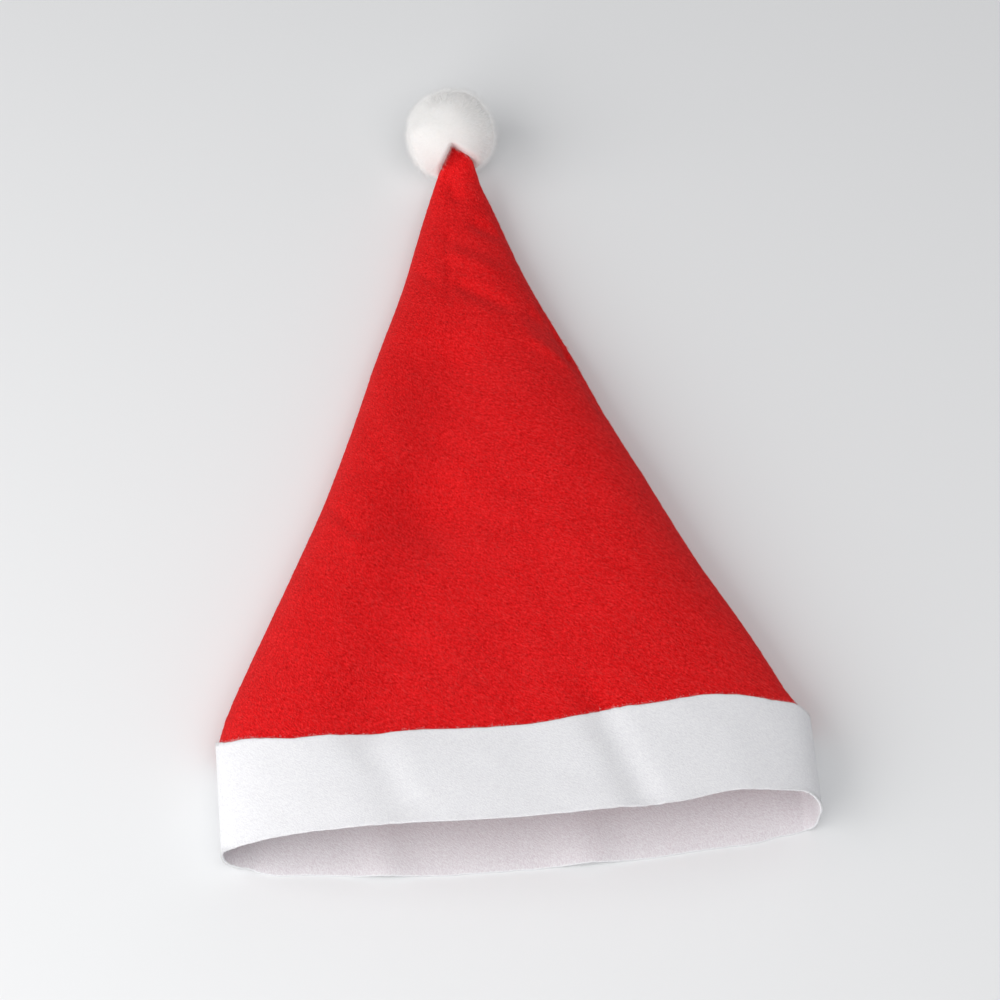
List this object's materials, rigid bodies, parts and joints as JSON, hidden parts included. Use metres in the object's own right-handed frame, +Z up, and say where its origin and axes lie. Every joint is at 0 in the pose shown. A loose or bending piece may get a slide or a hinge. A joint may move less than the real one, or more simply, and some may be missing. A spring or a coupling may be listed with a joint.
{
  "type": "santa hat",
  "caption": "Pointed red felt hat with a white felt band round the open mouth and a white plush pompom on the tip, lying on its back.",
  "frame": {"origin": "middle of the footprint, on the surface the hat lies on", "axes": "+Y along the hat from the open mouth to the pompom, +X to the right seen from above with the mouth towards the viewer, +Z up from the surface"},
  "size_m": [0.267, 0.4092, 0.0479],
  "materials": {
    "red_felt": "needled felt, matt, with fine slanting fibres",
    "white_felt": "needled felt, matt and slightly fuzzy",
    "white_plush": "soft long plush"
  },
  "bodies": {
    "root": {"crown": "red_felt", "brim_band": "white_felt", "pompom": "white_plush"}
  },
  "joints": []
}
